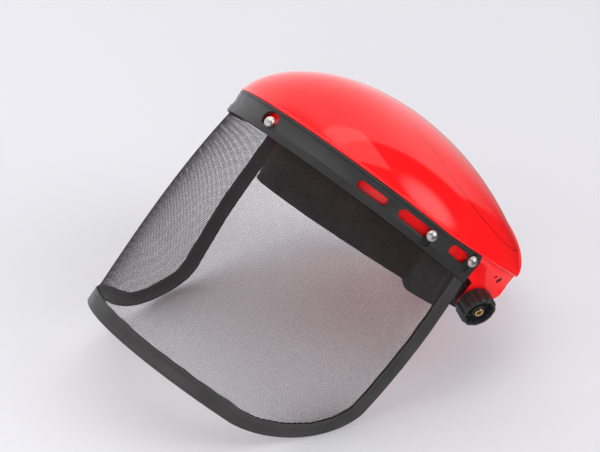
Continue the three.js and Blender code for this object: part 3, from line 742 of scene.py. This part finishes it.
outside = [
    (0, 0.0), (0.1, 0.75), (0.45, 1.3), (1.05, 1.6), (1.7, 1.62), (1.95, 1.42), (2.2, 1.42), (2.45, 1.6),
    (4.5, 1.68), (7.5, 1.68), (9.7, 1.6), (9.95, 1.36), (10.25, 1.36), (10.5, 1.62), (11.1, 1.7),
    (11.7, 1.5), (BINDING_WIDTH, 1.0), (11.8, 0.62), (11.0, 0.5), (3.0, 0.5),
]
around = np.array(outside + [(inset, -distance) for inset, distance in reversed(outside[1:])])

vinyl = new_finish("black_vinyl", (0.036, 0.034, 0.034), 0.38)
vary_colour(vinyl, grain(vinyl, 26), (0.028, 0.026, 0.026), (0.044, 0.041, 0.041))
vary_roughness(vinyl, grain(vinyl, 120, 5), 0.34, 0.52)
raise_grain(vinyl, grain(vinyl, 900, 4), 0.00008, 0.6)

binding = drawn("edge_binding_trim", around, np.linspace(0, 1, 521), bound)
set_down(binding, laid_down, vinyl, "visor", ["edge_binding"], crease=50)

# ---------------------------------------------------------------- studs
# Five turned steel studs with a satin polish are pressed through the band's slots into the
# guard's skirt: one in front, and two on each side. Their round heads keep the band on.

STUD_HEAD = 4.3
STUD_SHANK = 1.9
STUD_RISE = 4
STUD_FOOT = -4.2
FRONT_STUD = (-1.6, -13)


def stand_on_wall(s, z, distance):
    """Stands a part on the band, with its own Z outwards and its own Y up the wall."""
    outward = Vector(wall_normal(s, z)).normalized()
    up = (Vector((0, 0, 1)) - outward * outward.z).normalized()
    place = Matrix((up.cross(outward), up, outward)).transposed().to_4x4()
    place.translation = Vector(off_wall(s, z, distance))
    return place


steel = new_finish("polished_steel", (0.92, 0.88, 0.83), 0.4, Metallic=1.0)
vary_colour(steel, grain(steel, 260), (0.88, 0.84, 0.79), (0.95, 0.91, 0.86))
vary_roughness(steel, grain(steel, 700, 4), 0.36, 0.44)

stud_places = [("stud_front", *FRONT_STUD)]
for side, word in ((-1, "right"), (1, "left")):
    for (s, z), spot in zip(STUDS, ("side", "end")):
        stud_places.append((f"stud_{word}_{spot}", side * s, z))
for node, s, z in stud_places:
    profile = [(0, STUD_FOOT), (STUD_SHANK, STUD_FOOT), (STUD_SHANK, GAP)]
    profile += [(STUD_HEAD - 0.7, GAP), (STUD_HEAD - 0.15, GAP + 0.12)]
    for angle in np.linspace(0, np.pi / 2, 16):
        profile.append((STUD_HEAD * math.cos(angle), GAP + 0.5 + (STUD_RISE - 0.5) * math.sin(angle)))
    profile[-1] = (0, GAP + STUD_RISE)
    stud = turned(node + "_rivet", profile, 40, place=stand_on_wall(s, z, LIP_PROUD))
    set_down(stud, laid_down, steel, "visor", [node], crease=30)

# ---------------------------------------------------------------- knobs and bolts
# Each black knob is moulded with twelve lobes for grip and a deep recess with ribs in its wall.
# It turns with a bolt and its brass insert, and clamps the guard's ear to the headband.

KNOB_RADIUS = 14
KNOB_LENGTH = 14.4
KNOB_RECESS = 11
KNOB_SEAT = 6.4
KNOB_COLLAR = 12.4
LOBES = 12
LOBE_DEPTH = 1.4
COLLAR_RADIUS = 5
COLLAR_BORE = 3.95
BOLT_RADIUS = 2.6
INSERT_RADIUS = 3.6
INSERT_FOOT = 5.25
rib_outline = ((9.2, -0.4), (11.3, -0.55), (11.3, 0.55), (9.2, 0.4))

knob_black = new_finish("knob_black", (0.022, 0.022, 0.023), 0.38)
vary_colour(knob_black, grain(knob_black, 70), (0.018, 0.018, 0.019), (0.028, 0.028, 0.029))
vary_roughness(knob_black, grain(knob_black, 260, 5), 0.32, 0.46)
raise_grain(knob_black, grain(knob_black, 1600, 3), 0.00005, 0.5)

brass = new_finish("brass", (0.72, 0.50, 0.24), 0.28, Metallic=1.0)
vary_colour(brass, grain(brass, 300), (0.62, 0.42, 0.19), (0.80, 0.57, 0.29))
vary_roughness(brass, grain(brass, 800, 4), 0.22, 0.36)

for side, word in ((-1, "right"), (1, "left")):
    seat = on_ear(side, PIVOT.y, KNOB_LEVEL, GAP)
    rings = [
        (BOLT_HOLE, 0), (10.6, 0), (11.6, 0.15), (12.5, 0.7, LOBE_DEPTH * 0.5),
        (KNOB_RADIUS - 0.1, 1.5, LOBE_DEPTH), (KNOB_RADIUS, 3, LOBE_DEPTH),
        (KNOB_RADIUS, 11.4, LOBE_DEPTH), (KNOB_RADIUS - 0.12, 12.6, LOBE_DEPTH),
        (KNOB_RADIUS - 0.5, 13.5, LOBE_DEPTH * 0.8), (KNOB_RADIUS - 1.1, 14.1, LOBE_DEPTH * 0.5),
        (KNOB_RADIUS - 1.8, KNOB_LENGTH), (KNOB_RECESS + 0.55, KNOB_LENGTH),
        (KNOB_RECESS + 0.15, KNOB_LENGTH - 0.25), (KNOB_RECESS - 0.05, KNOB_LENGTH - 0.8),
        (KNOB_RECESS - 0.7, KNOB_SEAT + 0.5), (KNOB_RECESS - 1.2, KNOB_SEAT),
        (COLLAR_RADIUS + 0.6, KNOB_SEAT), (COLLAR_RADIUS + 0.2, KNOB_SEAT + 0.4),
        (COLLAR_RADIUS, KNOB_COLLAR - 0.3), (COLLAR_RADIUS - 0.3, KNOB_COLLAR),
        (COLLAR_BORE, KNOB_COLLAR), (COLLAR_BORE, 4.9), (BOLT_HOLE, 4.9),
    ]
    knob = turned(f"knob_{word}_grip", rings, 192, ripples=LOBES)
    ribs = []
    for turn in range(LOBES):
        rib = stacked("rib", [[(x, y, z) for x, y in rib_outline] for z in (KNOB_SEAT - 0.5, 13.2)])
        rib.data.transform(Matrix.Rotation(2 * math.pi * (turn + 0.5) / LOBES, 4, "Z"))
        ribs.append(rib)
    joined(knob, ribs, "UNION")
    knob.name = f"knob_{word}_grip"
    set_down(knob, laid_down @ seat, knob_black, f"{word}_knob", [f"knob_{word}"], crease=32)

    top = KNOB_LENGTH - 0.6
    profile = [
        (0, -11.5), (BOLT_RADIUS - 0.4, -11.5), (BOLT_RADIUS, -11.1), (BOLT_RADIUS, INSERT_FOOT),
        (INSERT_RADIUS, INSERT_FOOT), (INSERT_RADIUS, top - 0.3), (INSERT_RADIUS - 0.3, top),
        (2.2, top), (1.9, top - 0.3), (1.9, top - 3), (0, top - 3),
    ]
    bolt = turned(f"bolt_{word}_insert", profile, 48)
    set_down(bolt, laid_down @ seat, brass, f"{word}_knob", [f"bolt_{word}"], crease=30)

# ---------------------------------------------------------------- headband
# The headband is a moulded ring of black plastic. An arm with upright ribs leaves each side of
# it and ends in a boss that the knob's bolt screws into.

RING_HALF_WIDTH = 84.8
RING_HALF_LENGTH = 87.6
RING_CENTRE_Y = 44.5
RING_FRONT_EXTRA = 9
RING_WALL = 2.4
RING_TOP = -14
RING_BOTTOM = -46
RING_FRONT_BOTTOM = -35.5
STRAP_TOP = -18
STRAP_BOTTOM = -38
ARM_ROOT_Y = 29
ARM_ELBOW_Y = 50
ARM_END_Y = 77
ARM_WALL = 3
ARM_ROOT_LEVELS = (-42, -15)
ARM_HALF_HEIGHT = 14
BOSS_RADIUS = 13
BOSS_BORE = 5.2
BOSS_FACE = 6.5
BOSS_LENGTH = 8.5
HEADBAND_PITCH = math.radians(5)
worn = (
    laid_down
    @ Matrix.Translation(PIVOT)
    @ Matrix.Rotation(HEADBAND_PITCH, 4, "X")
    @ Matrix.Translation(-PIVOT)
)


def ring_point(angle, distance, z):
    """A point round the ring, out from its outer face by a distance."""
    angle, distance, z = np.broadcast_arrays(angle, distance, z)
    x = (RING_HALF_WIDTH + distance) * np.cos(angle)
    front = RING_FRONT_EXTRA * np.maximum(0, -np.sin(angle))
    y = RING_CENTRE_Y + (RING_HALF_LENGTH + front + distance) * np.sin(angle)
    return np.stack([x, y, z], -1)


def ring_section(distance, level, angle):
    """Level runs from 0 at the ring's bottom edge to 1 at its top. The strap at the back is lower."""
    y = RING_CENTRE_Y + RING_HALF_LENGTH * np.sin(angle)
    back = smooth(y, 62, 100)
    bottom = mix(RING_FRONT_BOTTOM, RING_BOTTOM, smooth(y, 8, 26))
    z = mix(mix(bottom, STRAP_BOTTOM, back), mix(RING_TOP, STRAP_TOP, back), level)
    return ring_point(angle, distance, z)


def boss_x(r):
    """The boss's face is a cone about the pivots' axis, clear of the leaning ear."""
    plate = rim_half_width(PIVOT.y) - SKIRT_INSET + (PIVOT.z - r) * math.tan(EAR_LEAN)
    return plate - EAR_WALL - GAP


boss_base = boss_x(BOSS_FACE) - BOSS_LENGTH


def arm(side):
    """An arm: it leaves the ring, bows outwards and ends round the boss."""
    rows, columns = 60, 10
    y = np.linspace(ARM_ROOT_Y, ARM_END_Y, rows)[:, None, None]
    v = np.linspace(0, 1, columns)[None, :, None]
    w = np.array([0, 1.0])[None, None, :]
    k = smooth(y, ARM_ROOT_Y, ARM_ELBOW_Y)
    root_x = RING_HALF_WIDTH * np.sqrt(1 - ((y - RING_CENTRE_Y) / RING_HALF_LENGTH) ** 2)
    x = mix(root_x, boss_base + ARM_WALL, k) - w * ARM_WALL
    half = np.sqrt(ARM_HALF_HEIGHT ** 2 - np.maximum(0, y - PIVOT.y) ** 2)
    high = mix(ARM_ROOT_LEVELS[1], PIVOT.z + half, k)
    low = mix(ARM_ROOT_LEVELS[0], PIVOT.z - half, k)
    x, y, z = np.broadcast_arrays(side * x, y, mix(low, high, v))
    corners = np.stack([x, y, z], -1).transpose(2, 0, 1, 3).reshape(-1, 3)
    return blank("arm", corners, plate_faces(rows, columns))


def arm_rib(side, y):
    """An upright rib that stands on the arm's outer face."""
    k = float(smooth(y, ARM_ROOT_Y, ARM_ELBOW_Y))
    root_x = RING_HALF_WIDTH * math.sqrt(1 - ((y - RING_CENTRE_Y) / RING_HALF_LENGTH) ** 2)
    x = mix(root_x, boss_base + ARM_WALL, k)
    low = mix(ARM_ROOT_LEVELS[0], PIVOT.z - ARM_HALF_HEIGHT, k) + 2.5
    high = mix(ARM_ROOT_LEVELS[1], PIVOT.z + ARM_HALF_HEIGHT, k) - 2.5
    slab = rounded([(-0.9, low), (0.9, low), (0.9, high), (-0.9, high)], 0.7)
    return stacked("rib", [[(side * (x + out), y + a, b) for a, b in slab] for out in (-1.5, 1.3)])


headband_black = new_finish("headband_black", (0.020, 0.020, 0.021), 0.44)
vary_colour(headband_black, grain(headband_black, 40), (0.016, 0.016, 0.017), (0.026, 0.026, 0.027))
vary_roughness(headband_black, grain(headband_black, 160, 5), 0.38, 0.54)
raise_grain(headband_black, grain(headband_black, 1200, 3), 0.00005, 0.5)

hoop_section = rounded([(0, 0), (0, 1), (-RING_WALL, 1), (-RING_WALL, 0)], 0.04, 2)
hoop_stations = np.linspace(0, 2 * np.pi, 180, endpoint=False)
hoop = drawn("headband_hoop", hoop_section, hoop_stations, ring_section, endless=True)
additions = []
bores = []
for side in (-1, 1):
    lay_over = Matrix.Translation((0, PIVOT.y, PIVOT.z)) @ Matrix.Rotation(math.radians(90 * side), 4, "Y")
    profile = [
        (0, boss_base + 0.2), (BOSS_RADIUS - 0.4, boss_base + 0.2), (BOSS_RADIUS, boss_base + 0.6),
        (BOSS_RADIUS, boss_x(BOSS_RADIUS) - 0.5), (BOSS_RADIUS - 0.5, boss_x(BOSS_RADIUS - 0.5)),
        (BOSS_FACE, boss_x(BOSS_FACE)), (0, boss_x(BOSS_FACE)),
    ]
    additions += [arm(side), turned("boss", profile, 64, place=lay_over)]
    additions += [arm_rib(side, y) for y in (39, 44, 49)]
    middle = boss_x(BOSS_FACE) - 4
    bore = [(0, middle - 7), (BOSS_BORE, middle - 7), (BOSS_BORE, middle + 7), (0, middle + 7)]
    bores.append(turned("bore", bore, 40, place=lay_over))
joined(hoop, additions, "UNION")
joined(hoop, bores, "DIFFERENCE")
hoop.name = "headband_hoop"
set_down(hoop, worn, headband_black, "headband", ["headband"], crease=35)

# ---------------------------------------------------------------- sweatband
# A strip of dark foam is folded under the front of the ring, with a layer on each of its faces.
# It is soft, so its faces swell between the fold and the stitched line near its edge.

PAD_OUTER = 7
PAD_INNER = 3.2
PAD_TOP = -6
PAD_BOTTOM = -40.2
FOLD = RING_FRONT_BOTTOM - GAP
PAD_START = math.radians(-168)
PAD_TURN = math.radians(150)

foam = new_finish("foam_black", (0.012, 0.011, 0.011), 0.88)
vary_colour(foam, grain(foam, 90), (0.008, 0.0075, 0.0075), (0.017, 0.015, 0.015))
raise_grain(foam, grain(foam, 1500, 6), 0.00025, 0.9)

clearance = -RING_WALL - GAP
pad_corners = rounded([
    (GAP, PAD_TOP), (GAP, FOLD), (clearance, FOLD), (clearance, PAD_TOP),
    (clearance - PAD_INNER, PAD_TOP), (clearance - PAD_INNER, PAD_BOTTOM),
    (PAD_OUTER, PAD_BOTTOM), (PAD_OUTER, PAD_TOP),
], 2.2, 6)
pad_section = []
for here, after in zip(pad_corners, np.roll(pad_corners, -1, 0)):
    pieces = max(1, int(np.hypot(*(after - here)) / 1.5))
    pad_section += [here + (after - here) * i / pieces for i in range(pieces)]


def stuffed(distance, z, share):
    """The pad's place round the ring: it thins at both ends, and its faces are softly uneven."""
    outer = distance > GAP + 0.5
    inner = distance < clearance - 0.5
    end = np.clip(np.minimum(share, 1 - share) * PAD_TURN * 86 / 5, 0, 1)
    ease = np.sqrt(1 - (1 - end) ** 2)
    stitch = np.exp(-((z - PAD_TOP + 3.2) / 0.7) ** 2) + np.exp(-((z - PAD_BOTTOM - 4.5) / 0.7) ** 2)
    swell = 0.35 * np.sin(share * 21) * np.sin(z * 0.13 + 1) - 0.7 * stitch
    outer_reach = GAP + (distance - GAP) * (0.35 + 0.65 * ease) + np.minimum(swell, 0.1) * ease
    inner_reach = clearance + (distance - clearance) * (0.35 + 0.65 * ease) - np.minimum(swell, 0.1) * ease
    reach = np.where(outer, outer_reach, np.where(inner, inner_reach, distance + 0 * ease))
    middle = (PAD_TOP + PAD_BOTTOM) / 2
    height = np.where(outer | inner, middle + (z - middle) * (0.86 + 0.14 * ease), z + 0 * ease)
    return ring_point(PAD_START + PAD_TURN * share, reach, height)


pad = drawn("sweatband_foam", pad_section, np.linspace(0, 1, 161), stuffed)
set_down(pad, worn, foam, "headband", ["sweatband"], crease=60)

# ---------------------------------------------------------------- size adjuster
# The adjuster's housing is a small box of the same black plastic on the back of the strap, with
# rounded corners and a shallow grip panel moulded in its face.

ADJUSTER_WIDTH = 44
ADJUSTER_HEIGHT = 17
ADJUSTER_DEPTH = 5.5

strap_middle = (STRAP_TOP + STRAP_BOTTOM) / 2
box_outline = rounded([
    (-ADJUSTER_HEIGHT / 2, 0), (ADJUSTER_HEIGHT / 2, 0),
    (ADJUSTER_HEIGHT / 2, ADJUSTER_DEPTH), (-ADJUSTER_HEIGHT / 2, ADJUSTER_DEPTH),
], 1.6, 5)


def housing(z, depth, x):
    """The housing's place: its ends are drawn in to a round, and its face has three grip grooves."""
    end = np.clip((1 - np.abs(x) / (ADJUSTER_WIDTH / 2)) * ADJUSTER_WIDTH / 2 / 3, 0, 1)
    ease = 0.72 + 0.28 * np.sqrt(1 - (1 - end) ** 2)
    groove = 0.35 * (np.abs(x) < 15) * np.sin(x * 1.25) ** 8 * (depth > 4)
    angle = np.arccos(x / RING_HALF_WIDTH)
    return ring_point(angle, GAP + depth * ease - groove, strap_middle + z * ease)


box_stations = np.linspace(-ADJUSTER_WIDTH / 2, ADJUSTER_WIDTH / 2, 121)
adjuster = drawn("size_adjuster_housing", box_outline, box_stations, housing)
set_down(adjuster, worn, headband_black, "headband", ["size_adjuster"], crease=40)

# ---------------------------------------------------------------- stop pins
# Small black plastic pins are pressed from inside into the two holes above each knob. They sit
# sunk in the holes and move with the guard.

for side, word in ((-1, "right"), (1, "left")):
    pins = []
    for y, z, radius in STOP_HOLES:
        profile = [(0, -3), (radius - 0.15, -3), (radius - 0.15, -1.1), (radius * 0.7, -0.8), (0, -0.8)]
        pins.append(turned(f"stop_pins_{word}", profile, 32, place=on_ear(side, y, z)))
    joined(pins[0], pins[1:], "UNION")
    set_down(pins[0], laid_down, headband_black, "visor", [])

# ---------------------------------------------------------------- setting
# The shield lies on a wide pale sweep under soft studio light: a broad panel overhead, dimmer
# ones all round, and a sky that stands for the studio's walls and one round lamp.

pale = new_finish("pale_sweep", (0.70, 0.692, 0.722), 0.9)
vary_colour(pale, grain(pale, 0.8, 2), (0.69, 0.682, 0.712), (0.712, 0.704, 0.734))
ground = blank("pale_floor", [(-15, -15, 0), (15, -15, 0), (15, 15, 0), (-15, 15, 0)], [(0, 1, 2, 3)])
ground.data.materials.append(pale)
ground.visible_glossy = False


def soft_panel(name, place, aim, size, power, turn=0, mirrored=True):
    """A flat lamp. One that isn't mirrored lights the shield but doesn't show in its gloss."""
    lamp = bpy.data.lights.new(name, "AREA")
    lamp.shape = "RECTANGLE"
    lamp.size, lamp.size_y = size
    lamp.energy = power
    holder = bpy.data.objects.new(name, lamp)
    bpy.context.collection.objects.link(holder)
    holder.location = place
    way = (Vector(aim) - Vector(place)).to_track_quat("-Z", "Y").to_matrix()
    holder.rotation_euler = (way @ Matrix.Rotation(math.radians(turn), 3, "Z")).to_euler()
    holder.visible_glossy = mirrored


soft_panel("overhead_box", (0.14, -0.09, 1.55), (0.14, -0.06, 0.15), (0.84, 1.24), 3.6, turn=-12)
soft_panel("side_fill", (1.45, 1.18, 0.95), (0.11, 0.04, 0.15), (1.4, 0.8), 3, mirrored=False)
soft_panel("ceiling_fill", (-0.2, 0.2, 2.6), (0, 0, 0), (3, 3), 9, mirrored=False)
for turn, power in enumerate((25, 7, 5, 11, 25)):
    way = math.radians(72 * turn - 35)
    place = (2.1 * math.cos(way), 2.1 * math.sin(way), 0.75)
    soft_panel(f"surround_{turn}", place, (0, 0, 0.1), (2.0, 1.4), power, mirrored=False)

world = bpy.data.worlds.new("studio")
bpy.context.scene.world = world
world.use_nodes = True
sky = world.node_tree.nodes["Background"]
ways = add_node(world, "TexCoord")
axes = add_node(world, "SeparateXYZ")
join(world, ways.outputs["Generated"], axes, "Vector")


def step_down(value, high, low, top, bottom):
    """A smooth step: top where the value is above high, and bottom where it is below low."""
    spread = add_node(world, "MapRange", interpolation_type="SMOOTHSTEP")
    spread.inputs["From Min"].default_value = low
    spread.inputs["From Max"].default_value = high
    spread.inputs["To Min"].default_value = bottom
    spread.inputs["To Max"].default_value = top
    join(world, value, spread, "Value")
    return spread.outputs["Result"]


def sum_up(operation, *values):
    """A sum in nodes: each value is a number or another node's output."""
    node = add_node(world, "Math", operation=operation)
    for socket, value in enumerate(values):
        if isinstance(value, (int, float)):
            node.inputs[socket].default_value = value
        else:
            join(world, value, node, socket)
    return node.outputs["Value"]


x, y, z = axes.outputs["X"], axes.outputs["Y"], axes.outputs["Z"]
turned_away = sum_up("MAXIMUM", sum_up("MULTIPLY_ADD", x, -1.6, -0.56), 0)
height = sum_up("ADD", z, turned_away)
wall = sum_up("MAXIMUM", sum_up("MULTIPLY_ADD", height, 1.43, 0.43), 0)
wall = sum_up("MULTIPLY", sum_up("MINIMUM", wall, 1), step_down(y, -0.15, -0.45, 1, 0.35))
edge = sum_up("ADD", x, sum_up("MAXIMUM", sum_up("MULTIPLY_ADD", z, -0.8, 0.08), 0))
wall = sum_up("MULTIPLY", wall, step_down(edge, 0.01, -0.04, 0, 1))
behind = sum_up("MULTIPLY", step_down(y, -0.35, -0.6, 0, 0.7), step_down(z, 0.65, 0.4, 0.1, 1))
lamp_way = (0.7233, 0.5064, 0.4695)
glow = sum_up("ADD", sum_up("MULTIPLY", x, lamp_way[0]), sum_up("MULTIPLY", y, lamp_way[1]))
glow = sum_up("MULTIPLY_ADD", z, lamp_way[2], glow)
glow = step_down(glow, 0.985, 0.85, 2.4, 0)
upper = sum_up("MAXIMUM", sum_up("MAXIMUM", wall, behind), sum_up("MAXIMUM", glow, 0.02))
light = add_node(world, "Mix", data_type="FLOAT")
light.inputs[3].default_value = 0.45
join(world, step_down(z, -0.45, -0.8, 0, 1), light, 0)
join(world, upper, light, 2)
join(world, light.outputs[0], sky, "Strength")
sky.inputs["Color"].default_value = (0.96, 0.97, 1.0, 1)

# The camera looks down on the shield from in front and from its left.
VIEW_AZIMUTH = math.radians(55.31)
VIEW_ELEVATION = math.radians(31.18)
VIEW_DISTANCE = 0.9363
aim = Vector(tilt["pos_m"]) + Vector((0.0045, -0.0861, 0.0412))
away = Vector((
    math.sin(VIEW_AZIMUTH) * math.cos(VIEW_ELEVATION),
    -math.cos(VIEW_AZIMUTH) * math.cos(VIEW_ELEVATION),
    math.sin(VIEW_ELEVATION),
))
lens = bpy.data.cameras.new("camera")
lens.lens = 75
lens.sensor_width = 36
lens.clip_end = 60
camera = bpy.data.objects.new("camera", lens)
bpy.context.collection.objects.link(camera)
camera.location = aim + away * VIEW_DISTANCE
camera.rotation_euler = (-away).to_track_quat("-Z", "Y").to_euler()
bpy.context.scene.camera = camera
bpy.context.scene.view_settings.view_transform = "Standard"

bpy.context.view_layer.update()
